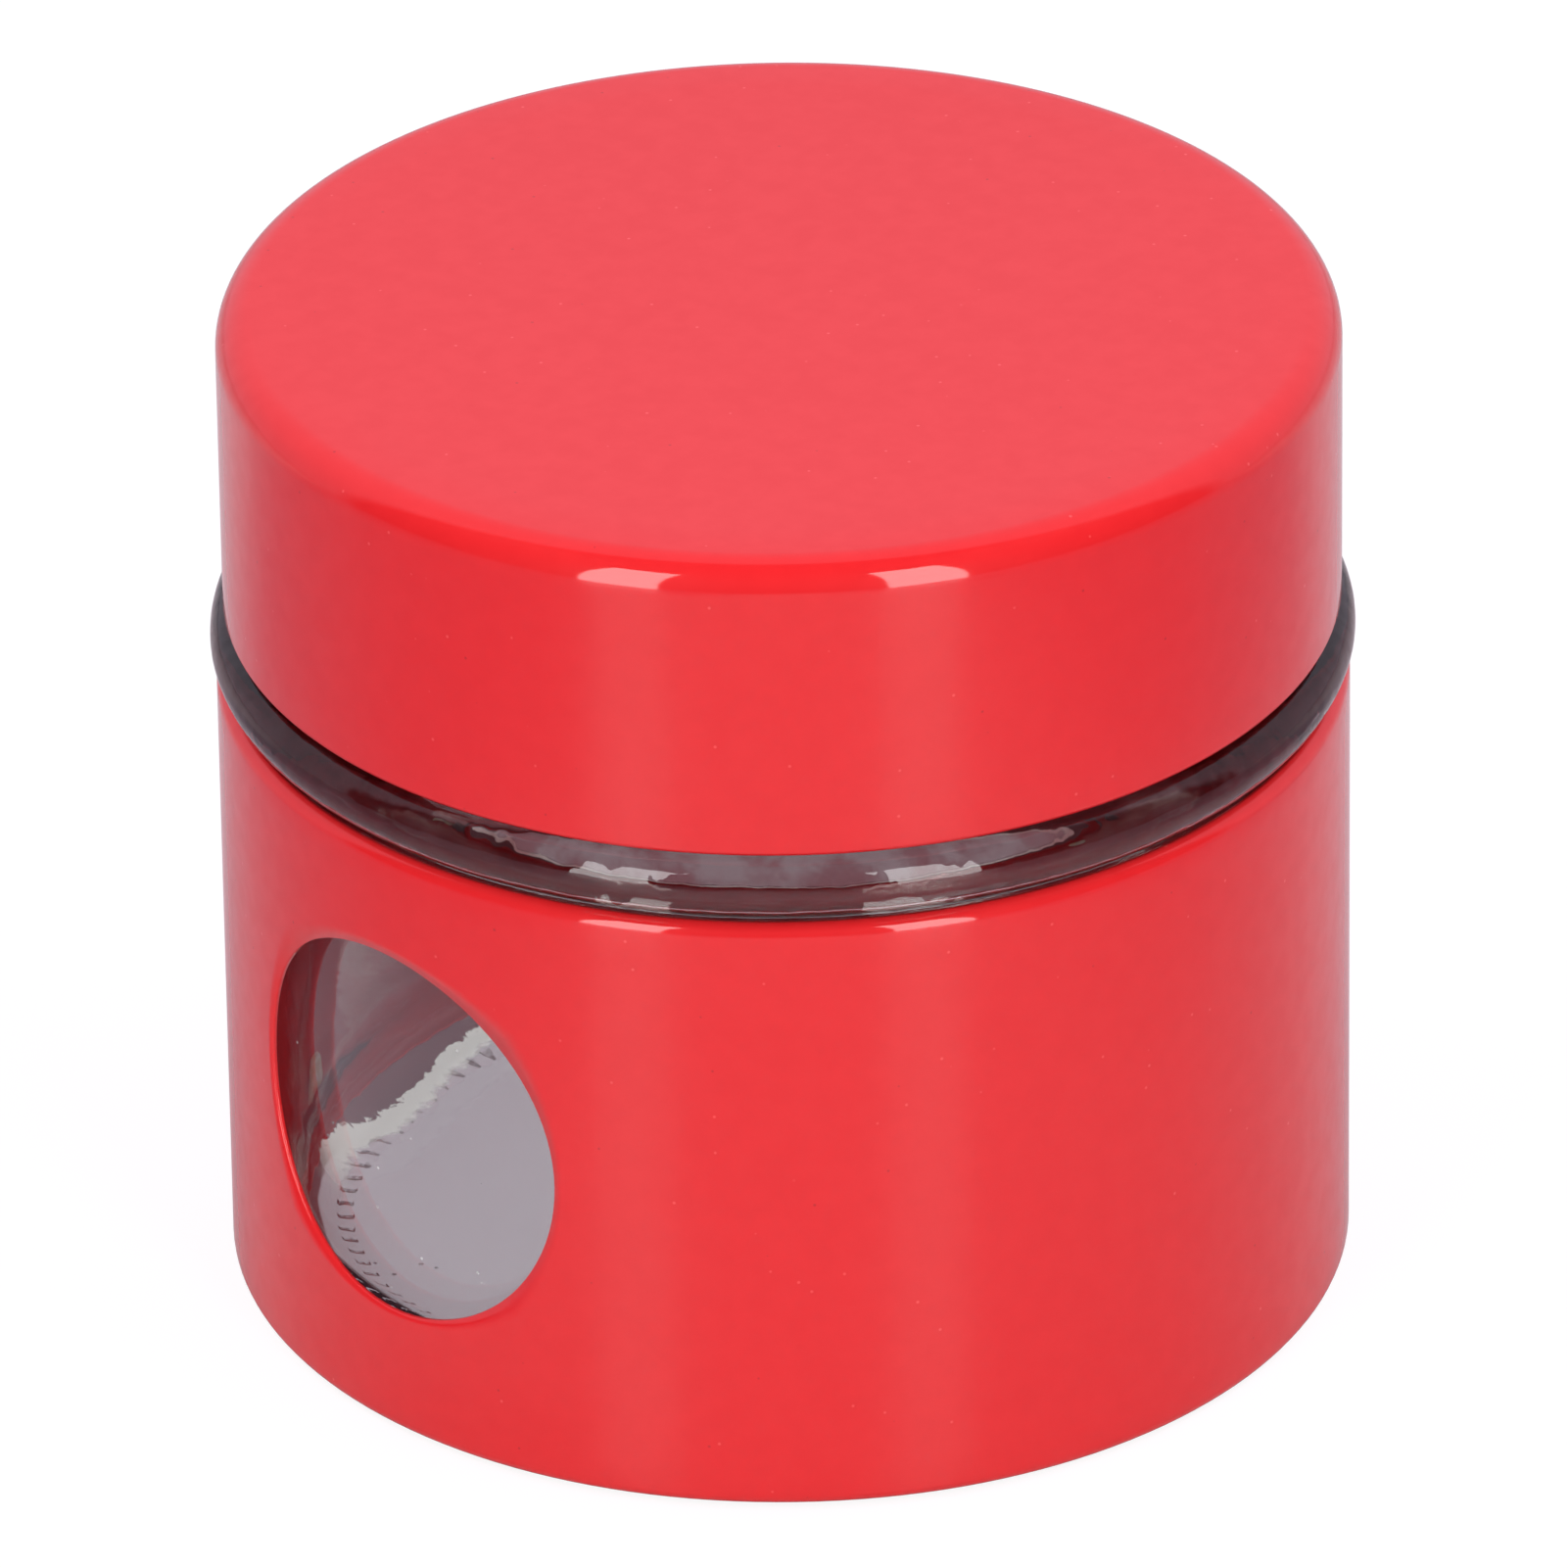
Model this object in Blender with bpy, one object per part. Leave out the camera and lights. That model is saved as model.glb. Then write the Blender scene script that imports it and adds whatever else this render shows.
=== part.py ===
"""A tea canister, built piece by piece at its real size.

A clear glass jar stands in a red painted steel sleeve that has a round window in front. A red painted steel
cap, with a plastic liner and a silicone seal inside it, twists off the jar's four-start thread.

Metres, Z up. The window faces -Y, and the origin is the centre of the jar's standing ring.
"""

import math

import bmesh
import bpy

MM = 0.001

# How finely round shapes are divided
SEGMENTS = 64
BEND_STEPS = 3
CORNER_STEPS = 5
BEAD_STEPS = 8
SHOULDER_STEPS = 4

# Gap that every two pieces in touch keep
PIECE_GAP = 0.3 * MM

# Steel sleeve
SHEET = 0.45 * MM
SLEEVE_RADIUS = 48.0 * MM
SLEEVE_HEIGHT = 55.6 * MM
SLEEVE_RAISE = 0.3 * MM
RIM_BEND = 0.75 * MM
FOOT_BEND = 0.55 * MM
FOOT_FLANGE = 3.0 * MM

# Round window, drawn on the flat sheet before it is rolled
WINDOW_RADIUS = 17.25 * MM
WINDOW_ABOVE_MIDDLE = 1.0 * MM
WINDOW_POINTS = 40
LIP_TO_GLASS = 0.95 * MM
LIP_BURIED = 0.15 * MM
CUTTER_PAST = 4.0 * MM

# Glass jar
JAR_TO_SLEEVE = 1.7 * MM
JAR_WALL = 3.0 * MM
JAR_FLOOR = 5.0 * MM
PUSH_UP = 0.75 * MM
PUSH_UP_SLOPE = 12.5 * MM
STAND_INSET = 4.0 * MM
STAND_WIDTH = 4.5 * MM
INNER_HEEL = 4.0 * MM

# Solid glass bead between the sleeve and the lid
BEAD_PROUD = 0.5 * MM
BEAD_HALF_WIDTH = 3.2 * MM
BEAD_HALF_HEIGHT = 2.8 * MM
BEAD_TO_RIM = 0.2 * MM
BEAD_FILLET = 0.6 * MM
SHELF_FALL = 0.5 * MM
SHOULDER_TOP_BELOW_BEAD = 3.0 * MM
SHOULDER_END_BELOW_BEAD = 8.5 * MM

# Jar neck
NECK_WALL = 3.2 * MM
MOUTH_ROUND = 1.4 * MM

# Thread between neck and liner
THREAD_STARTS = 4
THREAD_LEAD = 16.0 * MM
THREAD_DEPTH = 1.3 * MM
THREAD_SIDE_GAP = 0.4 * MM
THREAD_AXIAL_GAP = 0.45 * MM
THREAD_TAPER = 0.4
THREAD_BELOW_MOUTH = 4.4 * MM
THREAD_SINK = 0.6 * MM
NECK_THREAD_ARC = 70.0
LINER_THREAD_ARC = 50.0
THREAD_STEP = 7.0
THREAD_FADE = 10.0
THREAD_END = 0.2

# Steel lid shell
LID_INSET = 0.7 * MM
LID_TO_BEAD = 0.4 * MM
LID_HEIGHT = 27.0 * MM
LID_BEND = 2.5 * MM
CURL_BEND = 0.15 * MM
CURL_WIDTH = 1.3 * MM

# Plastic liner and its seal
LINER_WALL = 1.4 * MM
LINER_TOP = 1.5 * MM
SEAL_THICKNESS = 1.8 * MM
SEAL_EDGE = 0.4 * MM
SEAL_RIB_WIDTH = 1.2 * MM
SEAL_RIB_HEIGHT = 1.6 * MM

# Adhesive dabs between the glass and the sleeve, spaced evenly from the one opposite the window
DAB_COUNT = 3
DAB_RADIUS = 3.0 * MM
DAB_POINTS = 12

# Directions round Z, in degrees
WINDOW_DIRECTION = -90.0
FIRST_DAB_DIRECTION = 90.0

# Colours as linear red, green and blue
PAINT_RED = (0.80, 0.045, 0.055)
GLASS_CLEAR = (0.95, 0.97, 0.96)
LINER_GREY = (0.55, 0.54, 0.52)
SEAL_WHITE = (0.85, 0.85, 0.83)
ADHESIVE_CLEAR = (0.80, 0.78, 0.70)

# Sizes that follow from the ones above. The liner's and the seal's heights are above the lid's lower edge.
SLEEVE_INNER = SLEEVE_RADIUS - SHEET
SLEEVE_TOP = SLEEVE_RAISE + SLEEVE_HEIGHT
WINDOW_HEIGHT = SLEEVE_HEIGHT / 2 + WINDOW_ABOVE_MIDDLE
JAR_RADIUS = SLEEVE_INNER - JAR_TO_SLEEVE
JAR_INNER = JAR_RADIUS - JAR_WALL
STAND_OUTER = SLEEVE_RADIUS - FOOT_FLANGE - STAND_INSET
HEEL = JAR_RADIUS - STAND_OUTER
BEAD_RADIUS = SLEEVE_RADIUS + BEAD_PROUD
BEAD_HEIGHT = SLEEVE_TOP + BEAD_TO_RIM + BEAD_HALF_HEIGHT
BEAD_TOP = BEAD_HEIGHT + BEAD_HALF_HEIGHT
LID_RADIUS = SLEEVE_RADIUS - LID_INSET
LID_BOTTOM = BEAD_TOP + LID_TO_BEAD
LINER_RADIUS = LID_RADIUS - SHEET - PIECE_GAP
LINER_INNER = LINER_RADIUS - LINER_WALL
LINER_CEILING = LID_HEIGHT - SHEET - PIECE_GAP - LINER_TOP
SEAL_BOTTOM = LINER_CEILING - PIECE_GAP - SEAL_THICKNESS
MOUTH_TOP = LID_BOTTOM + SEAL_BOTTOM - PIECE_GAP
NECK_RADIUS = LINER_INNER - THREAD_SIDE_GAP - THREAD_DEPTH
NECK_INNER = NECK_RADIUS - NECK_WALL
THREAD_PITCH = THREAD_LEAD / THREAD_STARTS
RIDGE_MIDDLE = THREAD_PITCH / 2 - THREAD_AXIAL_GAP
NECK_THREAD_RISE = THREAD_LEAD * NECK_THREAD_ARC / 360
NECK_THREAD_LOW = MOUTH_TOP - THREAD_BELOW_MOUTH - NECK_THREAD_RISE


def clear_scene():
    """Remove every object that the file opened with."""
    for old in list(bpy.data.objects):
        bpy.data.objects.remove(old, do_unlink=True)


def make_material(name, colour, roughness, metallic=0.0, transmission=0.0):
    material = bpy.data.materials.new(name)
    material.use_nodes = True
    shader = material.node_tree.nodes["Principled BSDF"]
    shader.inputs["Base Color"].default_value = (*colour, 1.0)
    shader.inputs["Roughness"].default_value = roughness
    shader.inputs["Metallic"].default_value = metallic
    shader.inputs["Transmission Weight"].default_value = transmission
    material.diffuse_color = (*colour, 1.0)
    return material


def add_object(name, bm, material=None, parent=None, height=0.0):
    """Turn a bmesh into a named object that stands at a height above its parent."""
    bmesh.ops.recalc_face_normals(bm, faces=bm.faces)
    mesh = bpy.data.meshes.new(name)
    bm.to_mesh(mesh)
    bm.free()
    obj = bpy.data.objects.new(name, mesh)
    bpy.context.scene.collection.objects.link(obj)
    obj.parent = parent
    obj.location.z = height
    if material:
        mesh.materials.append(material)
        mesh.shade_smooth()
        mesh.set_sharp_from_angle(angle=math.radians(35))
    return obj


def add_axis(name, height, parent=None):
    """An empty that marks where a moving group turns or slides."""
    empty = bpy.data.objects.new(name, None)
    empty.empty_display_size = 20 * MM
    bpy.context.scene.collection.objects.link(empty)
    empty.parent = parent
    empty.location.z = height
    return empty


def place(radius, angle, height):
    """The point at a radius, an angle in radians round Z, and a height."""
    return radius * math.cos(angle), radius * math.sin(angle), height


def arc(centre_radius, centre_height, radius, start, end, steps=BEND_STEPS):
    """Points of (radius, height) round a bend, from one angle in degrees to another."""
    points = []
    for step in range(steps + 1):
        angle = math.radians(start + (end - start) * step / steps)
        points.append((centre_radius + radius * math.cos(angle), centre_height + radius * math.sin(angle)))
    return points


def turned(profile, closed):
    """Spin a profile of (radius, height) points once round Z."""
    bm = bmesh.new()
    verts = [bm.verts.new((radius, 0, height)) for radius, height in profile]
    edges = [bm.edges.new(pair) for pair in zip(verts, verts[1:])]
    if closed:
        edges.append(bm.edges.new((verts[-1], verts[0])))
    bmesh.ops.spin(
        bm, geom=verts + edges, cent=(0, 0, 0), axis=(0, 0, 1), angle=math.tau, steps=SEGMENTS, use_merge=True
    )
    bmesh.ops.remove_doubles(bm, verts=bm.verts, dist=MM / 1000)
    return bm


def rolled_disc(disc_radius, inner, outer, direction, height, points):
    """A disc cut from flat sheet and rolled as the sleeve is, solid from radius inner to outer."""
    bm = bmesh.new()
    bmesh.ops.create_circle(bm, cap_ends=True, cap_tris=True, segments=points, radius=disc_radius)
    extruded = bmesh.ops.extrude_face_region(bm, geom=bm.faces[:], use_keep_orig=True)
    outer_verts = {item for item in extruded["geom"] if isinstance(item, bmesh.types.BMVert)}
    for vert in bm.verts:
        along, up = vert.co.x, vert.co.y
        reach = outer if vert in outer_verts else inner
        vert.co = place(reach, math.radians(direction) + along / SLEEVE_RADIUS, height + up)
    return bm


def thread_ridges(root_radius, crest_radius, low_height, ridge_arc, lead_in):
    """One ridge for each thread start, wound along the thread's helix, with both ends faded out."""
    bm = bmesh.new()
    steps = round(ridge_arc / THREAD_STEP)
    rise = THREAD_LEAD * ridge_arc / 360
    half_root = RIDGE_MIDDLE * (1 + THREAD_TAPER) / 2
    half_crest = RIDGE_MIDDLE * (1 - THREAD_TAPER) / 2
    for start in range(THREAD_STARTS):
        rings = []
        for step in range(steps + 1):
            share = step / steps
            turn = math.radians(lead_in + start * 360 / THREAD_STARTS + ridge_arc * share)
            fade = min(1.0, THREAD_END + min(share, 1 - share) * ridge_arc / THREAD_FADE)
            crest = root_radius + (crest_radius - root_radius) * fade
            middle = low_height + rise * share
            section = (
                (root_radius, -half_root),
                (crest, -half_crest),
                (crest, half_crest),
                (root_radius, half_root),
            )
            rings.append([bm.verts.new(place(reach, turn, middle + up)) for reach, up in section])
        for ring, following in zip(rings, rings[1:]):
            for corner in range(4):
                other = (corner + 1) % 4
                bm.faces.new((ring[corner], ring[other], following[other], following[corner]))
        bm.faces.new(rings[0])
        bm.faces.new(rings[-1])
    return bm


def helper(name, bm, parent=None, height=0.0):
    """A shape that only cuts or adds to another, so it is left out of the render."""
    obj = add_object(name, bm, parent=parent, height=height)
    obj.hide_render = True
    obj.display_type = "WIRE"
    return obj


def combine(obj, other, operation):
    modifier = obj.modifiers.new(other.name, "BOOLEAN")
    modifier.operation = operation
    modifier.solver = "EXACT"
    modifier.object = other


def jar_profile():
    """Half section of the glass, from the middle of the underside round to the middle of the floor inside."""
    bead_centre = BEAD_RADIUS - BEAD_HALF_WIDTH
    fillet_radius = JAR_RADIUS + BEAD_FILLET
    bead_start = -math.degrees(math.acos((fillet_radius - bead_centre) / BEAD_HALF_WIDTH))
    fillet_top = BEAD_HEIGHT + BEAD_HALF_HEIGHT * math.sin(math.radians(bead_start))
    stand_inner = STAND_OUTER - STAND_WIDTH

    points = [(0, PUSH_UP), (stand_inner - PUSH_UP_SLOPE, PUSH_UP), (stand_inner, 0)]
    points += arc(STAND_OUTER, HEEL, HEEL, -90, 0, CORNER_STEPS)
    points += arc(fillet_radius, fillet_top - BEAD_FILLET, BEAD_FILLET, 180, 90)
    for step in range(1, BEAD_STEPS + 1):
        angle = math.radians(bead_start + (90 - bead_start) * step / BEAD_STEPS)
        reach = bead_centre + BEAD_HALF_WIDTH * math.cos(angle)
        points.append((reach, BEAD_HEIGHT + BEAD_HALF_HEIGHT * math.sin(angle)))
    points.append((NECK_RADIUS, BEAD_TOP - SHELF_FALL))
    points += arc(NECK_RADIUS - MOUTH_ROUND, MOUTH_TOP - MOUTH_ROUND, MOUTH_ROUND, 0, 90)
    points += arc(NECK_INNER + MOUTH_ROUND, MOUTH_TOP - MOUTH_ROUND, MOUTH_ROUND, 90, 180)

    shoulder_top = BEAD_HEIGHT - SHOULDER_TOP_BELOW_BEAD
    shoulder_bottom = BEAD_HEIGHT - SHOULDER_END_BELOW_BEAD
    for step in range(SHOULDER_STEPS + 1):
        share = step / SHOULDER_STEPS
        ease = share * share * (3 - 2 * share)
        reach = NECK_INNER + (JAR_INNER - NECK_INNER) * ease
        points.append((reach, shoulder_top + (shoulder_bottom - shoulder_top) * share))
    points += arc(JAR_INNER - INNER_HEEL, JAR_FLOOR + INNER_HEEL, INNER_HEEL, 0, -90, CORNER_STEPS)
    points.append((0, JAR_FLOOR))
    return points


def make_glass_jar(material):
    jar = add_object("glass_jar", turned(jar_profile(), closed=False), material)
    ridges = thread_ridges(
        NECK_RADIUS - THREAD_SINK, NECK_RADIUS + THREAD_DEPTH, NECK_THREAD_LOW, NECK_THREAD_ARC, 0.0
    )
    combine(jar, helper("neck_thread", ridges), "UNION")
    return jar


def make_sleeve(material):
    """Thin tube with a turned-in foot, a rolled-in rim and a window whose lip is turned in too."""
    rim = SHEET + RIM_BEND
    foot = SHEET + FOOT_BEND
    flange_inner = SLEEVE_RADIUS - FOOT_FLANGE
    profile = [(flange_inner, 0)]
    profile += arc(SLEEVE_RADIUS - foot, foot, foot, -90, 0)
    profile += arc(SLEEVE_RADIUS - rim, SLEEVE_HEIGHT - rim, rim, 0, 90)
    profile += arc(SLEEVE_RADIUS - rim, SLEEVE_HEIGHT - rim, RIM_BEND, 90, 0)
    profile += arc(SLEEVE_RADIUS - foot, foot, FOOT_BEND, 0, -90)
    profile.append((flange_inner, SHEET))
    sleeve = add_object("sleeve", turned(profile, closed=True), material, height=SLEEVE_RAISE)

    lip_inner = JAR_RADIUS + LIP_TO_GLASS
    lip_outer = SLEEVE_RADIUS - LIP_BURIED
    lip = rolled_disc(
        WINDOW_RADIUS + SHEET, lip_inner, lip_outer, WINDOW_DIRECTION, WINDOW_HEIGHT, WINDOW_POINTS
    )
    combine(sleeve, helper("window_lip", lip, height=SLEEVE_RAISE), "UNION")
    cut_from = lip_inner - CUTTER_PAST
    cut_to = SLEEVE_RADIUS + CUTTER_PAST
    opening = rolled_disc(WINDOW_RADIUS, cut_from, cut_to, WINDOW_DIRECTION, WINDOW_HEIGHT, WINDOW_POINTS)
    combine(sleeve, helper("window_opening", opening, height=SLEEVE_RAISE), "DIFFERENCE")
    return sleeve


def make_adhesive_dabs(material):
    """Pads between the glass and the sleeve, just above the jar's rounded heel."""
    dab_height = HEEL + DAB_RADIUS + PIECE_GAP
    inner = JAR_RADIUS + PIECE_GAP
    outer = SLEEVE_INNER - PIECE_GAP
    for number in range(DAB_COUNT):
        direction = FIRST_DAB_DIRECTION + number * 360 / DAB_COUNT
        pad = rolled_disc(DAB_RADIUS, inner, outer, direction, dab_height, DAB_POINTS)
        add_object(f"adhesive_dab_{number + 1}", pad, material)


def make_lid_shell(material, lid):
    """Drawn steel cap: flat top, round corner, straight side and a curled-in lower edge."""
    corner = SHEET + LID_BEND
    curl = SHEET + CURL_BEND
    curl_inner = LID_RADIUS - CURL_WIDTH
    profile = [(0, LID_HEIGHT)]
    profile += arc(LID_RADIUS - corner, LID_HEIGHT - corner, corner, 90, 0, CORNER_STEPS)
    profile += arc(LID_RADIUS - curl, curl, curl, 0, -90)
    profile += [(curl_inner, 0), (curl_inner, SHEET)]
    profile += arc(LID_RADIUS - curl, curl, CURL_BEND, -90, 0)
    profile += arc(LID_RADIUS - corner, LID_HEIGHT - corner, LID_BEND, 0, 90, CORNER_STEPS)
    profile.append((0, LID_HEIGHT - SHEET))
    add_object("lid_shell", turned(profile, closed=False), material, parent=lid)


def make_lid_insert(material, lid):
    """Moulded liner that fills the shell, threaded inside, with a rib that keeps the seal in place."""
    corner = LID_BEND - PIECE_GAP
    corner_height = LID_HEIGHT - SHEET - LID_BEND
    skirt_bottom = SHEET + PIECE_GAP
    rib_outer = NECK_INNER - PIECE_GAP
    rib_inner = rib_outer - SEAL_RIB_WIDTH
    rib_bottom = LINER_CEILING - SEAL_RIB_HEIGHT
    profile = [(0, LINER_CEILING + LINER_TOP)]
    profile += arc(LINER_RADIUS - corner, corner_height, corner, 90, 0)
    profile += [(LINER_RADIUS, skirt_bottom), (LINER_INNER, skirt_bottom), (LINER_INNER, LINER_CEILING)]
    profile += [(rib_outer, LINER_CEILING), (rib_outer, rib_bottom)]
    profile += [(rib_inner, rib_bottom), (rib_inner, LINER_CEILING), (0, LINER_CEILING)]
    insert = add_object("lid_insert", turned(profile, closed=False), material, parent=lid)

    lead_in = (NECK_THREAD_ARC - LINER_THREAD_ARC) / 2
    low_height = NECK_THREAD_LOW - LID_BOTTOM - THREAD_PITCH / 2 + THREAD_LEAD * lead_in / 360
    ridges = thread_ridges(
        LINER_INNER + THREAD_SINK, LINER_INNER - THREAD_DEPTH, low_height, LINER_THREAD_ARC, lead_in
    )
    combine(insert, helper("liner_thread", ridges, parent=lid), "UNION")


def make_lid_gasket(material, lid):
    """Flat silicone ring between the liner's ceiling and the jar's rounded mouth."""
    outer = LINER_INNER - PIECE_GAP
    inner = NECK_INNER
    top = SEAL_BOTTOM + SEAL_THICKNESS
    profile = [
        (inner, SEAL_BOTTOM + SEAL_EDGE),
        (inner + SEAL_EDGE, SEAL_BOTTOM),
        (outer - SEAL_EDGE, SEAL_BOTTOM),
        (outer, SEAL_BOTTOM + SEAL_EDGE),
        (outer, top),
        (inner, top),
    ]
    add_object("lid_gasket", turned(profile, closed=True), material, parent=lid)


def main():
    clear_scene()
    glass = make_material("clear_glass", GLASS_CLEAR, 0.02, transmission=1.0)
    paint = make_material("red_painted_steel", PAINT_RED, 0.15)
    plastic = make_material("grey_liner_plastic", LINER_GREY, 0.4)
    silicone = make_material("seal_silicone", SEAL_WHITE, 0.55)
    adhesive = make_material("clear_adhesive", ADHESIVE_CLEAR, 0.5)

    make_glass_jar(glass)
    make_sleeve(paint)
    make_adhesive_dabs(adhesive)
    lid_rise = add_axis("lid_rise_axis", LID_BOTTOM)
    lid_turn = add_axis("lid_turn_axis", 0.0, parent=lid_rise)
    make_lid_gasket(silicone, lid_rise)
    make_lid_insert(plastic, lid_turn)
    make_lid_shell(paint, lid_turn)


main()
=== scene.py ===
# %% [markdown]
# # A tea canister: glass jar, red steel sleeve and red steel lid
#
# The real object is a jar of clear pressed glass. It stands in a sleeve of thin steel, painted red,
# with a round window cut in the front, so that the tea shows. A red steel cap twists off the neck.
# Between the sleeve and the cap a bead of solid glass shows as a dark, glittering band.
#
# The measured model is loaded first and stays as it is. Each shown part is then made again with finer
# shapes in exactly the same place, and gets its real finish.

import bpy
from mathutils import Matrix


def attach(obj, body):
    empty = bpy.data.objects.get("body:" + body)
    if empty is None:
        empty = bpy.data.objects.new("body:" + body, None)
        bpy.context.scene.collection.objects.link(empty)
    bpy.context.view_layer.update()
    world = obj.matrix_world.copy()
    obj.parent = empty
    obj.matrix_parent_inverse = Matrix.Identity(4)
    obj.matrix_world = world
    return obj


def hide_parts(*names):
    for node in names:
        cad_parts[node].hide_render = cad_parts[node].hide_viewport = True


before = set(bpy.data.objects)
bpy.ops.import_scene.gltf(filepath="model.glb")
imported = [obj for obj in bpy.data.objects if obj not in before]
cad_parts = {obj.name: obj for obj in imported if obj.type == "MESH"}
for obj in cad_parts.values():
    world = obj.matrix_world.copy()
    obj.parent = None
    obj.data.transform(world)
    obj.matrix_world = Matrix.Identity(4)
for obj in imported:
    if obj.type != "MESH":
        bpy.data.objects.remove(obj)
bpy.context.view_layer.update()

# %% Blender's own modules
import math

import bmesh
import bpy
from mathutils import Matrix, Vector

MM = 0.001

# %% [markdown]
# ## The camera
#
# The camera stood to the right of the window and looked down on the canister by 29 degrees, from well
# away with a long lens, so that the sides stay almost parallel. A camera in Blender looks along its own
# -Z, so its matrix is built from three directions: right, up and back. It could be aimed by hand or by
# a constraint, but the matrix keeps the measured angles as they are. The photograph leans by less than
# a degree, and that small roll is in the right and up directions.

# %% Place the camera
CAMERA_AZIMUTH = math.radians(44.80)
CAMERA_ELEVATION = math.radians(28.78)
CAMERA_ROLL = math.radians(-0.807)
CAMERA_AWAY = 1.600
AIM = Vector((-0.06, -0.06, 43.1)) * MM

towards_camera = Vector((math.sin(CAMERA_AZIMUTH), -math.cos(CAMERA_AZIMUTH), 0))
camera_right = Vector((math.cos(CAMERA_AZIMUTH), math.sin(CAMERA_AZIMUTH), 0))
back = towards_camera * math.cos(CAMERA_ELEVATION) + Vector((0, 0, math.sin(CAMERA_ELEVATION)))
up = back.cross(camera_right)
leaning_right = camera_right * math.cos(CAMERA_ROLL) + up * math.sin(CAMERA_ROLL)
leaning_up = up * math.cos(CAMERA_ROLL) - camera_right * math.sin(CAMERA_ROLL)

camera_data = bpy.data.cameras.new("photo_camera")
camera_data.sensor_width = 36.0
camera_data.lens = 432.07
camera_data.clip_start = 0.05
camera_data.clip_end = 20.0
camera = bpy.data.objects.new("photo_camera", camera_data)
bpy.context.scene.collection.objects.link(camera)
turned = Matrix((leaning_right, leaning_up, back)).transposed().to_4x4()
camera.matrix_world = Matrix.Translation(AIM + back * CAMERA_AWAY) @ turned
bpy.context.scene.camera = camera
bpy.context.scene.view_settings.view_transform = "Standard"
print("camera at", [round(v, 3) for v in camera.matrix_world.translation])

# %% [markdown]
# ## A short way to write node trees
#
# A finish in Blender is a tree of nodes. Written out by hand it is long and hard to follow, so a small
# class wraps the output of a node and lets Python's own signs make the Math nodes: `1 - dust * 0.2`
# adds two of them. Where one node has several outputs, `sibling` gives another of them.

# %% Wires
class Wire:
    """The output of a node, which can be used in sums."""

    def __init__(self, recipe, socket):
        self.recipe = recipe
        self.socket = socket

    def sibling(self, output):
        """Another output of the node that this wire comes from."""
        return Wire(self.recipe, self.socket.node.outputs[output])

    def __add__(self, other):
        return self.recipe.maths("ADD", self, other)

    def __radd__(self, other):
        return self.recipe.maths("ADD", other, self)

    def __sub__(self, other):
        return self.recipe.maths("SUBTRACT", self, other)

    def __rsub__(self, other):
        return self.recipe.maths("SUBTRACT", other, self)

    def __mul__(self, other):
        return self.recipe.maths("MULTIPLY", self, other)

    def __rmul__(self, other):
        return self.recipe.maths("MULTIPLY", other, self)

# %% [markdown]
# A recipe fills a node tree. Its method `add` makes every node there is: it sets the node's settings
# first, because some of them change which sockets the node has, and then gives the sockets values or
# links. The methods after it are short names for the nodes that the finishes use most.

# %% Recipes
class Recipe:
    """A node tree that is filled node by node."""

    def __init__(self, tree):
        self.tree = tree
        tree.nodes.clear()

    def add(self, kind, settings=None, sockets=None):
        """Make a node from its type, its settings and the values or links of its sockets."""
        made = self.tree.nodes.new(kind)
        for name, value in (settings or {}).items():
            if name == "stops":
                self.set_stops(made.color_ramp, value)
            else:
                setattr(made, name, value)
        for name, value in (sockets or {}).items():
            if isinstance(value, Wire):
                self.tree.links.new(value.socket, made.inputs[name])
            else:
                made.inputs[name].default_value = value
        return made

    def node(self, kind, settings=None, sockets=None, out=0):
        return Wire(self, self.add(kind, settings, sockets).outputs[out])

    def set_stops(self, ramp, stops):
        while len(ramp.elements) > 1:
            ramp.elements.remove(ramp.elements[-1])
        ramp.elements[0].position = stops[0][0]
        for position, _ in stops[1:]:
            ramp.elements.new(position)
        for element, (_, level) in zip(ramp.elements, stops):
            element.color = (level, level, level, 1)

    def maths(self, operation, first, second=0.0):
        return self.node("ShaderNodeMath", {"operation": operation}, {0: first, 1: second})

    def ramp(self, value, *stops):
        return self.node("ShaderNodeValToRGB", {"stops": stops}, {"Fac": value})

    def rise(self, value, low, high):
        """0 below low, 1 above high, and a soft step between."""
        sockets = {"Value": value, "From Min": low, "From Max": high}
        return self.node("ShaderNodeMapRange", {"interpolation_type": "SMOOTHSTEP"}, sockets)

    def here(self):
        """The place on the piece, in metres."""
        return self.node("ShaderNodeTexCoord", out="Object")

    def vector(self, operation, sockets, out=0):
        return self.node("ShaderNodeVectorMath", {"operation": operation}, sockets, out)

    def length(self, vector):
        return self.vector("LENGTH", {0: vector}, out="Value")

    def along(self, vector, direction):
        """How far a vector reaches in a direction."""
        return self.vector("DOT_PRODUCT", {0: vector, 1: tuple(direction)}, out="Value")

    def noise(self, where, scale, detail=2.0, roughness=0.5):
        inputs = {"Vector": where, "Scale": scale, "Detail": detail, "Roughness": roughness}
        return self.node("ShaderNodeTexNoise", None, inputs)

    def bump(self, height, distance):
        return self.node("ShaderNodeBump", None, {"Strength": 1.0, "Distance": distance, "Height": height})

    def mix_colours(self, share, first, second):
        return self.node("ShaderNodeMix", {"data_type": "RGBA"}, {0: share, 6: first, 7: second}, out=2)

    def matt(self, colour):
        return self.node("ShaderNodeBsdfDiffuse", None, {"Color": colour})

    def glow(self, colour, strength=1.0):
        return self.node("ShaderNodeEmission", None, {"Color": colour, "Strength": strength})

    def see_through(self, colour):
        return self.node("ShaderNodeBsdfTransparent", None, {"Color": colour})

    def principled(self, sockets):
        return self.node("ShaderNodeBsdfPrincipled", None, sockets)

    def mix_shaders(self, share, first, second):
        return self.node("ShaderNodeMixShader", None, {0: share, 1: first, 2: second})

    def surface(self, shader):
        self.add("ShaderNodeOutputMaterial", None, {"Surface": shader})


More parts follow.
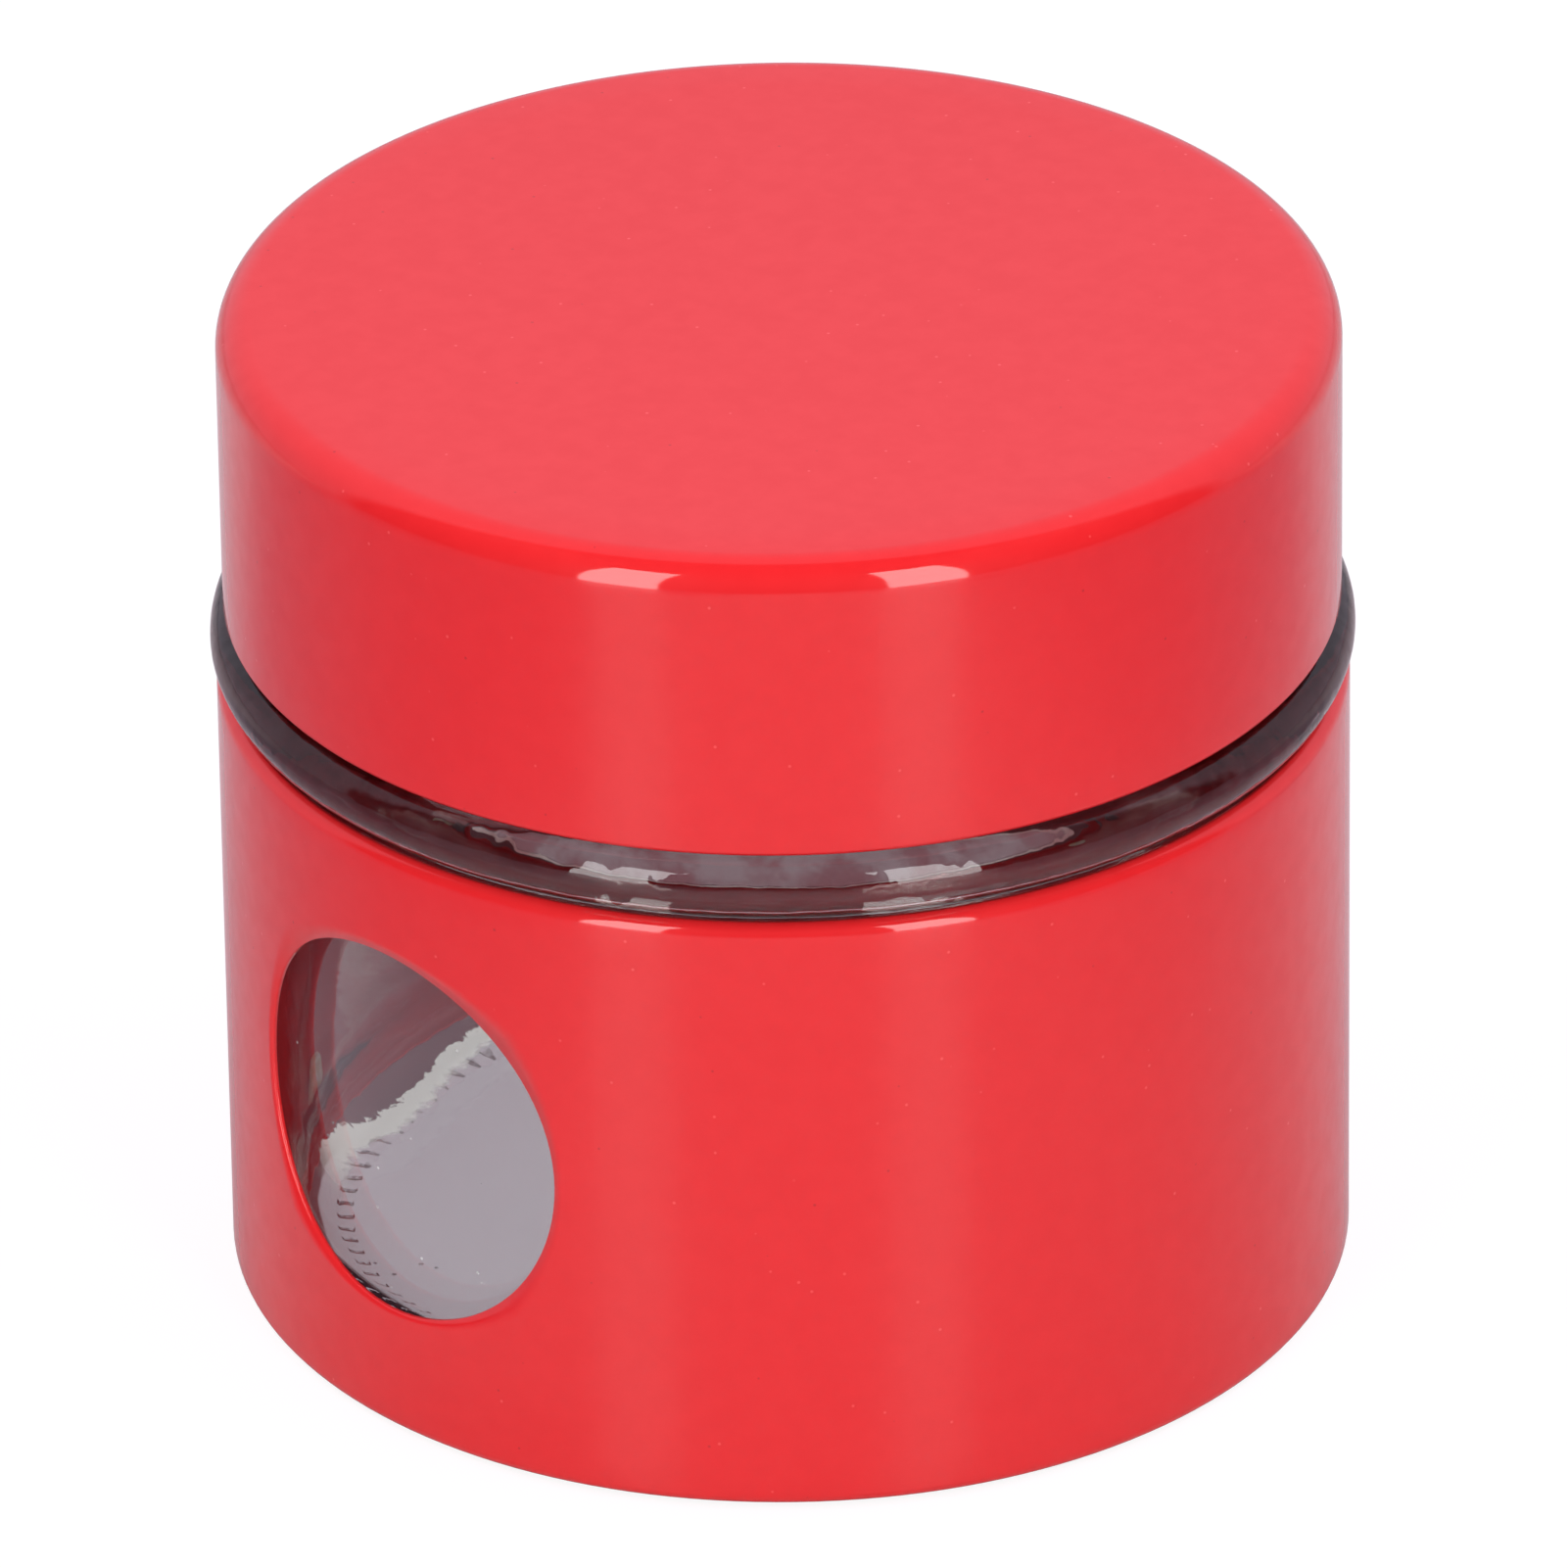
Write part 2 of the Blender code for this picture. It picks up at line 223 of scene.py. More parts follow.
def new_finish(name):
    material = bpy.data.materials.new(name)
    material.use_nodes = True
    return material, Recipe(material.node_tree)

# %% [markdown]
# ## The studio
#
# A glossy red cap is mostly a mirror, so its look depends on what stands round it. The highlights in
# the photograph tell: two tall soft boxes stand in front, one on each side of the camera. Two wide ones
# hang above the sides. They light the paint, but are kept out of mirror images, where the photograph
# shows no such shape. A small lamp hangs in the jar, where real glass gathers more light than a path
# tracer finds. No ray sees that lamp itself in a mirror or through glass.
#
# Lamps are area lights. The brightness of such a lamp's surface is its power divided by pi and by
# its area, so the power is worked out from the brightness that the highlights show.

# %% A lamp of a known brightness
DOWN = Vector((0, 0, -1))


def studio_direction(right_of_camera):
    """Level direction from the canister, in degrees to the camera's right."""
    turn = math.radians(right_of_camera)
    return towards_camera * math.cos(turn) + camera_right * math.sin(turn)


def hang_lamp(name, place, facing, width, height, brightness):
    lamp_data = bpy.data.lights.new(name, "AREA")
    lamp_data.shape = "RECTANGLE"
    lamp_data.size = width
    lamp_data.size_y = height
    lamp_data.energy = brightness * math.pi * width * height
    lamp = bpy.data.objects.new(name, lamp_data)
    bpy.context.scene.collection.objects.link(lamp)
    lamp.location = place
    lamp.rotation_euler = facing.to_track_quat("-Z", "Y").to_euler()
    lamp.visible_camera = False
    return lamp

# %% Hang the lamps
PANEL_AWAY = 1.0
PANEL_UP = 0.56
PANEL_WIDE = 0.27
PANEL_TALL = 1.12
PANEL_BRIGHTNESS = 6.2
CANOPY_DIRECTION = 80.0
CANOPY_AWAY = 0.745
CANOPY_UP = 1.2
CANOPY_WIDE = 0.95
CANOPY_DEEP = 0.52
JAR_LAMP_UP = 0.049
JAR_LAMP_ACROSS = 0.060
JAR_LAMP_BRIGHTNESS = 2.2

for side, panel_direction, canopy_brightness in (("left", -31.0, 3.8), ("right", 27.5, 5.0)):
    level = studio_direction(panel_direction)
    place = level * PANEL_AWAY + Vector((0, 0, PANEL_UP))
    hang_lamp("tall_panel_" + side, place, -level, PANEL_WIDE, PANEL_TALL, PANEL_BRIGHTNESS)

    level = studio_direction(math.copysign(CANOPY_DIRECTION, panel_direction))
    place = level * CANOPY_AWAY + Vector((0, 0, CANOPY_UP))
    canopy = hang_lamp("canopy_" + side, place, DOWN, CANOPY_WIDE, CANOPY_DEEP, canopy_brightness)
    canopy.rotation_euler = (0, 0, math.atan2(level.y, level.x) - math.pi / 2)
    canopy.visible_glossy = False

place = Vector((0, 0, JAR_LAMP_UP))
jar_lamp = hang_lamp("light_in_jar", place, DOWN, JAR_LAMP_ACROSS, JAR_LAMP_ACROSS, JAR_LAMP_BRIGHTNESS)
jar_lamp.data.shape = "DISK"
jar_lamp.visible_glossy = False
jar_lamp.visible_transmission = False

# %% [markdown]
# The room itself is the world. What a ray sees there depends on the kind of ray. The camera sees
# plain white. Rays that bounced off paint or went through glass see a dark room with a pale backdrop
# behind the canister, which shows as a milky sheen on the flat lid. Rays from matt surfaces see the
# same backdrop a little brighter. The light of the room has a touch of lilac, as in the photograph.

# %% Paint the room
WHITE = (1, 1, 1, 1)
LILAC_WHITE = (1.0, 0.88, 1.04, 1)

room = bpy.data.worlds.new("studio_room")
room.use_nodes = True
bpy.context.scene.world = room
air = Recipe(room.node_tree)
seen_by_camera = air.node("ShaderNodeLightPath", out="Is Camera Ray")
seen_in_mirror = seen_by_camera.sibling("Is Glossy Ray")
seen_through_glass = seen_by_camera.sibling("Is Transmission Ray")
seen_in_gloss = air.maths("MAXIMUM", seen_in_mirror, seen_through_glass)
behind = air.along(air.node("ShaderNodeTexCoord", out="Generated"), -towards_camera)
backdrop = air.ramp(behind, (0.0, 0.0), (0.12, 1.0))
for_gloss = backdrop * 0.58 + 0.02
for_matt = backdrop * 0.8 + 0.05
for_others = seen_in_gloss * for_gloss + (1 - seen_in_gloss) * for_matt
strength = seen_by_camera + (1 - seen_by_camera) * for_others
room_colour = air.mix_colours(seen_by_camera, LILAC_WHITE, WHITE)
background = air.node("ShaderNodeBackground", None, {"Color": room_colour, "Strength": strength})
air.add("ShaderNodeOutputWorld", None, {"Surface": background})

# %% [markdown]
# The floor is a disc just under the glass. What it shows depends on who looks. To the camera it glows,
# so that it comes out as white as the paper round a cut-out picture, and its matt share still keeps the
# canister's soft shadow. To every other ray it is a pale table with a slight shine, with painted shade
# that makes it darker to the two sides, which is how the paint near the foot mirrors it. Its underside
# lets the camera through, so that the canister can be looked at from below.

# %% Lay the floor
FLOOR_RADIUS = 3.0
FLOOR_BELOW_GLASS = 0.05

floor_shape = bmesh.new()
floor_place = Matrix.Translation((0, 0, -FLOOR_BELOW_GLASS * MM))
bmesh.ops.create_circle(floor_shape, cap_ends=True, segments=96, radius=FLOOR_RADIUS, matrix=floor_place)
floor_mesh = bpy.data.meshes.new("studio_floor")
floor_shape.to_mesh(floor_mesh)
floor_shape.free()
floor = bpy.data.objects.new("studio_floor", floor_mesh)
bpy.context.scene.collection.objects.link(floor)
print("floor laid", round(floor.dimensions.x, 2), "m across")

# %% The table beside the canister
TABLE_PALE = (0.60, 0.555, 0.57, 1)
TABLE_PAINTED_SHADE = (0.33, 0.28, 0.335, 1)

floor_finish, mix = new_finish("white_table")
where = mix.here()
aside = mix.maths("ABSOLUTE", mix.along(where, camera_right) - 0.015)
far_back = mix.along(where, -towards_camera)
# Painted shade: the table is darker to the two sides, except far behind the canister.
painted_side_shade = mix.rise(aside, 0.06, 0.17) * (1 - mix.rise(far_back, 0.06, 0.14))
table_colour = mix.mix_colours(painted_side_shade, TABLE_PALE, TABLE_PAINTED_SHADE)
table = mix.principled({"Base Color": table_colour, "Roughness": 0.30, "IOR": 1.45})

# %% [markdown]
# Real glass gathers light into a pool on the table under the jar. Through the window it shows with a
# sharp edge that swings in an S: close to the wall in front, further in at the back. A path tracer
# hardly finds such light, so the table glows there a little, lilac in the pool and maroon beyond it,
# where the red walls throw their colour. Rays that come through the glass or from a matt surface see
# this glow. The camera never sees it directly.

# %% The pool of light under the jar
TABLE_MATT = (0.60, 0.54, 0.62, 1)
LILAC_GLOW = (0.50, 0.44, 0.51, 1)
MAROON_GLOW = (0.085, 0.030, 0.042, 1)
PAPER_BRIGHTNESS = 1.18
PAPER_GLOW_SHARE = 0.76

from_camera = mix.node("ShaderNodeLightPath", out="Is Camera Ray")
through_glass = from_camera.sibling("Is Transmission Ray")
glass_or_matt = mix.maths("MAXIMUM", through_glass, from_camera.sibling("Is Diffuse Ray"))
from_middle = mix.length(where)
depth = mix.node("ShaderNodeSeparateXYZ", None, {0: where}, out="Y")
pool_edge = 0.0437 - mix.rise(depth, -0.025, -0.016) * 0.0057 + mix.rise(depth, -0.010, 0.0) * 0.0018
in_pool = 1 - mix.rise(from_middle - pool_edge, -0.0003, 0.0003)
outside = mix.rise(from_middle, 0.048, 0.052)
covered = 1 - mix.rise(from_middle, 0.046, 0.048)
pool = mix.mix_shaders(mix.maths("MAXIMUM", in_pool, outside), mix.glow(MAROON_GLOW), mix.glow(LILAC_GLOW))
glowing = mix.maths("MAXIMUM", through_glass * outside * 0.6, glass_or_matt * covered * 0.85)
table_top = mix.mix_shaders(glowing, table, pool)

paper = mix.mix_shaders(PAPER_GLOW_SHARE, mix.matt(TABLE_MATT), mix.glow(WHITE, PAPER_BRIGHTNESS))
upper_side = mix.mix_shaders(from_camera, table_top, paper)
underside = mix.node("ShaderNodeNewGeometry", out="Backfacing")
mix.surface(mix.mix_shaders(underside, upper_side, mix.see_through(WHITE)))
floor_mesh.materials.append(floor_finish)
print("table finished with", len(mix.tree.nodes), "nodes")

# %% [markdown]
# ## The red paint
#
# Steel cans like this one are sprayed with a solid red, then a clear gloss. The photograph shows it up
# close: an even red with a faint mottle a millimetre wide, a few dust nibs under the clear coat, lighter
# and darker, and a skin that is not quite flat, as on an orange. The colour itself hardly changes.
#
# The Principled shader has a coat of its own on top of the coloured layer, which is how the real paint
# is built: a fairly rough red below, and a smooth clear coat that gives the sharp mirror image. The
# inside of the sleeve and the cap gets the same red with only a trace of the clear coat, made deeper as
# painted shade, because little light reaches in there.

# %% Dust nibs
def dust_nibs(mix, where, scale, size, share):
    """A mask of tiny round spots. scale is spots per metre, size a share of their spacing."""
    distance = mix.node("ShaderNodeTexVoronoi", None, {"Scale": scale, "Vector": where}, out="Distance")
    spot = mix.ramp(distance, (size * 0.5, 1.0), (size, 0.0))
    chosen = mix.ramp(distance.sibling("Color"), (1 - share, 0.0), (1 - share + 0.01, 1.0))
    return spot * chosen

# %% Mix the paints
RED = (0.80, 0.018, 0.022, 1)
RED_DEEP = (0.77, 0.015, 0.019, 1)
# The inside reds are darker than the outside red as painted shade, for the little light inside the sleeve
# and the cap.
INSIDE_RED_SHADED = (0.58, 0.016, 0.022, 1)
INSIDE_RED_DEEP_SHADED = (0.48, 0.012, 0.017, 1)
NIB_LIGHT = (0.95, 0.13, 0.13, 1)
NIB_DARK = (0.42, 0.010, 0.014, 1)
SKIN_DEEP = 0.006


def mix_paint(name, coat_weight, roughness, red, red_deep):
    finish, mix = new_finish(name)
    where = mix.here()
    mottle = mix.ramp(mix.noise(where, 420.0, detail=3.0), (0.35, 0.0), (0.65, 1.0))
    drift = mix.noise(where, 26.0, detail=1.0)
    colour = mix.mix_colours(mottle * 0.6 + drift * 0.2, red, red_deep)
    light_nibs = dust_nibs(mix, where, 430.0, 0.075, 0.5)
    dark_nibs = dust_nibs(mix, where, 370.0, 0.060, 0.4)
    colour = mix.mix_colours(light_nibs * 0.55, colour, NIB_LIGHT)
    colour = mix.mix_colours(dark_nibs * 0.6, colour, NIB_DARK)
    orange_skin = mix.noise(where, 760.0, detail=1.0) * 0.20 + mix.noise(where, 70.0, detail=0.0) * 1.6
    shader = mix.principled(
        {
            "Base Color": colour,
            "Roughness": mottle * 0.06 + roughness,
            "Normal": mix.bump(orange_skin + light_nibs * 0.8, SKIN_DEEP * MM),
            "Specular IOR Level": 0.10,
            "Coat Weight": coat_weight,
            "Coat Roughness": 0.05,
            "Coat IOR": 1.5,
        }
    )
    mix.surface(shader)
    return finish


outside_paint = mix_paint("red_gloss_paint", 1.0, 0.42, RED, RED_DEEP)
inside_paint_shaded = mix_paint("red_inside_paint_shaded", 0.25, 0.55, INSIDE_RED_SHADED, INSIDE_RED_DEEP_SHADED)
print("paint mixed:", outside_paint.name, "and", inside_paint_shaded.name)

# %% [markdown]
# ## Clear glass
#
# Pressed soda-lime glass bends light with an index of 1.52 and has a faint grey-green tint. Its surface
# was never ground, so it keeps a slight waviness from the mould, a little more of it in the bead. The
# bead is thick and shows the dark red that surrounds it, so its upper half is tinted dark red as painted
# shade.
#
# All the masks that follow are told where they are by the height above the table, the distance to the
# axis and the depth from front to back, in millimetres.

# %% Where on the glass, its waves and its tint
GLASS_CLEAR = (0.93, 0.955, 0.935, 1)
BEAD_PAINTED_SHADE = (0.20, 0.050, 0.056, 1)
WAVES_DEEP = 0.1


def places_on_glass(mix):
    """Object coordinates, then distance to the axis, depth to the back and height in millimetres."""
    where = mix.here()
    millimetres = mix.vector("SCALE", {0: where, "Scale": 1000.0})
    deep = mix.node("ShaderNodeSeparateXYZ", None, {0: millimetres}, out="Y")
    flat = mix.vector("MULTIPLY", {0: millimetres, 1: (1.0, 1.0, 0.0)})
    return where, mix.length(flat), deep, deep.sibling("Z")


def glass_waves(mix, where, tall, at_bead):
    long_waves = mix.noise(where, 30.0, detail=0.0) * 2.0 + mix.rise(tall, 28.0, 48.0) * 3.2
    short_waves = mix.noise(where, 130.0, detail=2.0) * (at_bead * 2.0 + 0.2)
    fine_waves = mix.noise(where, 520.0, detail=1.0) * (at_bead * 0.4 + 0.02)
    return mix.bump(long_waves + short_waves + fine_waves, WAVES_DEEP * MM)


def glass_tint_and_bead_shade(mix, where, tall, at_bead):
    whorls = mix.rise(mix.noise(where, 230.0, detail=3.0, roughness=0.6), 0.38, 0.62)
    # Painted shade: the upper half of the bead is tinted dark red, for the dim red that shows through it.
    bead_shade_share = at_bead * mix.rise(tall, 57.0, 60.0) * (whorls * 0.15 + 0.85)
    return mix.mix_colours(bead_shade_share, GLASS_CLEAR, BEAD_PAINTED_SHADE)

# %% [markdown]
# Some of what the window shows sits on the glass. A ragged ring of frost, rough as sand, runs round the
# jar's floor. It starts beside the window and follows the edge of the pool of light, and its white is
# also painted light, where the pool shows pale through the glass. Just behind the window are a few dark
# specks, and the ribs under the foot are darkened in patches.

# %% Frost with painted light, dirt specks and darkened ribs
# Frost whose white ring is also painted light along the edge of the pool of light.
def frost_and_painted_light_ring(mix, where, reach, deep):
    ring_middle = 39.9 - mix.rise(deep, -24.5, -15.0) * 3.5 + mix.rise(deep, -12.0, 0.0) * 1.0
    grains = (mix.noise(where, 1300.0, detail=2.0) - 0.5) * 1.8 + (mix.noise(where, 330.0) - 0.5) * 1.4
    off_middle = reach - ring_middle + grains
    across = mix.rise(off_middle, -1.9, -0.7) * (1 - mix.rise(off_middle, 1.0, 1.3))
    return across * mix.rise(deep, -30.0, -24.0)


def dark_specks(mix, where, reach, deep):
    near_window = 1 - mix.rise(deep, -29.0, -25.0)
    in_ring = mix.rise(reach, 32.5, 33.5) * (1 - mix.rise(reach, 38.0, 39.0))
    return dust_nibs(mix, where, 640.0, 0.16, 0.35) * near_window * in_ring * 0.8


# The bottoms of the ribs are darkened in patches.
def darkened_rib_patches(mix, where):
    return mix.rise(mix.noise(where, 1100.0, detail=2.0), 0.36, 0.60) * 0.65 + 0.05

# %% [markdown]
# The layers are put together from the glass outwards: a thin lilac veil on the wall, frost that is also
# painted light, grains of dust, and dark specks and darkened rib patches on top. Light also has to reach
# what stands behind the glass, and a path tracer finds that hard through a real lens, so shadow rays go
# straight through, a little dimmed by the wall and more by the bead.

# %% Mix the glass
LILAC_VEIL = (0.74, 0.55, 0.72, 1)
POWDER_AND_PAINTED_LIGHT = (0.90, 0.92, 0.90, 1)
DIRT_AND_DARKENING = (0.10, 0.075, 0.085, 1)
SHADE_OF_WALL = (0.86, 0.88, 0.87, 1)
SHADE_OF_BEAD = (0.42, 0.43, 0.42, 1)


def mix_glass(name, darkened_ribs):
    finish, mix = new_finish(name)
    where, reach, deep, tall = places_on_glass(mix)
    at_floor = mix.rise(tall, 3.5, 4.0) * (1 - mix.rise(tall, 8.0, 9.0))
    below_bead = 1 - mix.rise(tall, 50.0, 54.0)
    at_bead = mix.rise(tall, 53.0, 56.5) * (1 - mix.rise(tall, 61.75, 62.3))

    haze = mix.ramp(mix.noise(where, 160.0, detail=4.0, roughness=0.6), (0.50, 0.0), (0.80, 1.0))
    clear_glass = mix.principled(
        {
            "Base Color": glass_tint_and_bead_shade(mix, where, tall, at_bead),
            "Roughness": haze * 0.03 + 0.01,
            "Normal": glass_waves(mix, where, tall, at_bead),
            "IOR": 1.52,
            "Transmission Weight": 1.0,
        }
    )
    veiled = mix.mix_shaders(below_bead * 0.013, clear_glass, mix.matt(LILAC_VEIL))
    dust = dust_nibs(mix, where, 330.0, 0.055, 0.3) * below_bead * 0.6
    # Frost and painted light in one white ring, with real dust grains beside it.
    frost_and_painted_light = frost_and_painted_light_ring(mix, where, reach, deep) * at_floor * 0.92
    dulled = mix.mix_shaders(mix.maths("MAXIMUM", frost_and_painted_light, dust), veiled, mix.matt(POWDER_AND_PAINTED_LIGHT))
    # The rib bottoms are darkened in patches; elsewhere a few dark specks of dirt lie near the window.
    if darkened_ribs:
        dark_marks = darkened_rib_patches(mix, where)
    else:
        dark_marks = dark_specks(mix, where, reach, deep) * at_floor
    darkened = mix.mix_shaders(dark_marks, dulled, mix.matt(DIRT_AND_DARKENING))

    dimmed = mix.mix_shaders(at_bead, mix.see_through(SHADE_OF_WALL), mix.see_through(SHADE_OF_BEAD))
    shadow_ray = mix.node("ShaderNodeLightPath", out="Is Shadow Ray")
    mix.surface(mix.mix_shaders(shadow_ray, darkened, dimmed))
    return finish


glass_finish = mix_glass("pressed_clear_glass", darkened_ribs=False)
darkened_rib_finish = mix_glass("glass_foot_darkened_ribs", darkened_ribs=True)
print("glass mixed:", glass_finish.name, "and", darkened_rib_finish.name)

# %% [markdown]
# ## Turned shapes
#
# The jar, the cap, its liner and the seal are all round, so each starts as a half outline that is spun
# once round Z. The outline is a wire of straight lines with sharp corners. A corner is rounded by a
# bevel on its vertex, where the amount is how far along each line the curve starts, which for a
# square corner is the radius. This keeps the outline as a short list of corners that can be read.

# %% Outline and lathe
SMALL_ROUNDING = 0.5
SMALL_ROUNDING_SEGMENTS = 3
MERGE_WITHIN = 0.001


def outline(corners, closed=False, segments=6):
    """A wire in the XZ plane from corners of (radius, height, rounding) in millimetres."""
    bm = bmesh.new()
    verts = [bm.verts.new((radius * MM, 0, height * MM)) for radius, height, _ in corners]
    for pair in zip(verts, verts[1:]):
        bm.edges.new(pair)
    if closed:
        bm.edges.new((verts[-1], verts[0]))
    for vert, (_, _, rounding) in zip(verts, corners):
        if rounding:
            bmesh.ops.bevel(
                bm,
                geom=[vert],
                offset=rounding * MM,
                offset_type="OFFSET",
                segments=segments if rounding > SMALL_ROUNDING else SMALL_ROUNDING_SEGMENTS,
                profile=0.5,
                affect="VERTICES",
                material=-1,
            )
    return bm


def cut_long_lines(bm, longest):
    """Divide the outline's long straight lines, so that spun faces are not too slim."""
    for edge in list(bm.edges):
        cuts = int(edge.calc_length() / (longest * MM))
        if cuts:
            bmesh.ops.subdivide_edges(bm, edges=[edge], cuts=cuts)


def lathe(bm, steps):
    bmesh.ops.spin(
        bm,
        geom=bm.verts[:] + bm.edges[:],
        cent=(0, 0, 0),
        axis=(0, 0, 1),
        dvec=(0, 0, 0),
        angle=math.tau,
        steps=steps,
        use_merge=True,
        use_duplicate=False,
    )
    bmesh.ops.remove_doubles(bm, verts=bm.verts[:], dist=MERGE_WITHIN * MM)
    bmesh.ops.recalc_face_normals(bm, faces=bm.faces[:])

# %% [markdown]
# A finished bmesh becomes an object that stands at the origin, with smooth shading and sharp edges only
# where two faces meet at a clear angle. Threads are turned on their own and then melted into the glass
# or the plastic by a Boolean union, so that no wall is left inside. The volume in millilitres is
# printed as a check: a mesh that is open or inside out gives a wrong one.

# %% From shape to piece
def smooth(mesh, sharp_over):
    mesh.shade_smooth()
    mesh.set_sharp_from_angle(angle=math.radians(sharp_over))


def add_piece(name, bm, sharp_over=40.0):
    mesh = bpy.data.meshes.new(name)
    bm.to_mesh(mesh)
    bm.free()
    piece = bpy.data.objects.new(name, mesh)
    bpy.context.scene.collection.objects.link(piece)
    smooth(mesh, sharp_over)
    return piece


def melt_in(piece, other, sharp_over):
    """Join another solid to a piece, so that glass or plastic has no wall inside it."""
    union = piece.modifiers.new("melt_in", "BOOLEAN")
    union.operation = "UNION"
    union.solver = "EXACT"
    union.object = other
    bpy.context.view_layer.update()
    melted = bpy.data.meshes.new_from_object(piece.evaluated_get(bpy.context.evaluated_depsgraph_get()))
    piece.modifiers.remove(union)
    old_mesh = piece.data
    piece.data = melted
    melted.name = piece.name
    bpy.data.meshes.remove(old_mesh)
    bpy.data.objects.remove(other, do_unlink=True)
    smooth(melted, sharp_over)


def volume_of(piece):
    """Volume in millilitres."""
    bm = bmesh.new()
    bm.from_mesh(piece.data)
    volume = bm.calc_volume(signed=True)
    bm.free()
    return volume * 1e6

# %% [markdown]
# ## The glass jar
#
# The jar stands on a narrow ring. Its floor is thick, the wall is 3 mm, and a bead of solid glass
# sticks out between sleeve and cap, where it catches the light. The neck above it hides in the cap.
#
# It could be cut out of a solid cylinder with Booleans, but one outline keeps every wall's thickness in
# sight and gives clean rows of faces. The lathe is given three steps for each of the 106 ribs that are
# to stand under the ring.

# %% Turn the jar
RIB_COUNT = 106
RIB_DEEP = 0.25
RIB_START = 37.9
RIB_END = 40.2
JAR_STEPS = RIB_COUNT * 3
JAR_SHARP_OVER = 30.0
JAR_OUTLINE = (
    (0.0, 0.75, 0),
    (24.0, 0.75, 5.0),
    (35.6, RIB_DEEP, 1.0),
    (RIB_START, RIB_DEEP, 0),
    (RIB_END, RIB_DEEP, 0),
    (45.85, RIB_DEEP, 5.6),
    (45.85, 55.9, 0.6),
    (48.45, 57.0, 2.0),
    (48.45, 61.7, 2.6),
    (45.3, 61.7, 0.4),
    (43.45, 61.2, 0.3),
    (43.45, 84.45, 1.4),
    (40.25, 84.45, 1.4),
    (40.25, 55.4, 2.0),
    (42.85, 51.0, 2.5),
    (42.85, 5.0, 5.8),
    (0.0, 5.0, 0),
)
jar_shape = outline(JAR_OUTLINE, segments=10)
cut_long_lines(jar_shape, 3.2)
lathe(jar_shape, JAR_STEPS)
print("jar turned,", len(jar_shape.faces), "faces")

# %% [markdown]
# Jars are knurled under the ring, with short ribs that point to the middle, so that the hot glass
# stands on points and does not crack. Through the window these ribs show as a row of dark dashes.
# Every third face of the ring is inset, and its middle pushed down to the table. In the photograph the
# row runs close to the wall in front and further in at the back, and the ribs follow it.

# %% Press in the ribs
RIB_INSET = 0.19
BACK_RIBS_FURTHER_IN = 1.7
STILL_IN_FRONT = -25.0
FRONT_TO_BACK = 10.0


def is_rib_face(face):
    middle = face.calc_center_median()
    reach = math.hypot(middle.x, middle.y) / MM
    on_ring = abs(middle.z - RIB_DEEP * MM) < 0.01 * MM and RIB_START < reach < RIB_END
    return on_ring and round(math.atan2(middle.y, middle.x) / math.tau * JAR_STEPS - 0.5) % 3 == 0


rib_faces = [face for face in jar_shape.faces if is_rib_face(face)]
bmesh.ops.inset_individual(jar_shape, faces=rib_faces, thickness=RIB_INSET * MM, use_even_offset=True)
rib_bottoms = {vert for face in rib_faces for vert in face.verts}
bmesh.ops.translate(jar_shape, verts=list(rib_bottoms), vec=(0, 0, -RIB_DEEP * MM))
for vert in rib_bottoms:
    towards_back = min(1.0, max(0.0, (vert.co.y / MM - STILL_IN_FRONT) / FRONT_TO_BACK))
    reach = math.hypot(vert.co.x, vert.co.y) / MM
    further_in = (reach - BACK_RIBS_FURTHER_IN * towards_back) / reach
    vert.co.x *= further_in
    vert.co.y *= further_in
for face in rib_faces:
    face.material_index = 1
jar_glass = add_piece("jar_glass", jar_shape, JAR_SHARP_OVER)
jar_glass.data.materials.append(glass_finish)
jar_glass.data.materials.append(darkened_rib_finish)
print(len(rib_faces), "ribs pressed,", round(volume_of(jar_glass), 1), "ml of glass")

# %% [markdown]
# The cap is held by a four-start thread, so that a part of a turn frees it. A ridge is one small
# rounded outline, spun through 70 degrees while it climbs, and then its two ends are sunk back into
# the neck so that the cap can find them. Four copies stand a quarter turn apart. A Screw modifier could
# wind them too, but a spin that climbs starts and ends just where it is told. The liner's own ridges are
# made the same way, so one function winds both.

# %% Wind the threads
THREAD_STARTS = 4
THREAD_LEAD = 16.0
DEGREES_A_STEP = 2
RIDGE_HALF_AT_ROOT = 1.085
RIDGE_HALF_AT_CREST = 0.465
RIDGE_LEFT_AT_ENDS = 0.35
RIDGE_BEVEL = 0.25
AT_CREST_WITHIN = 0.01


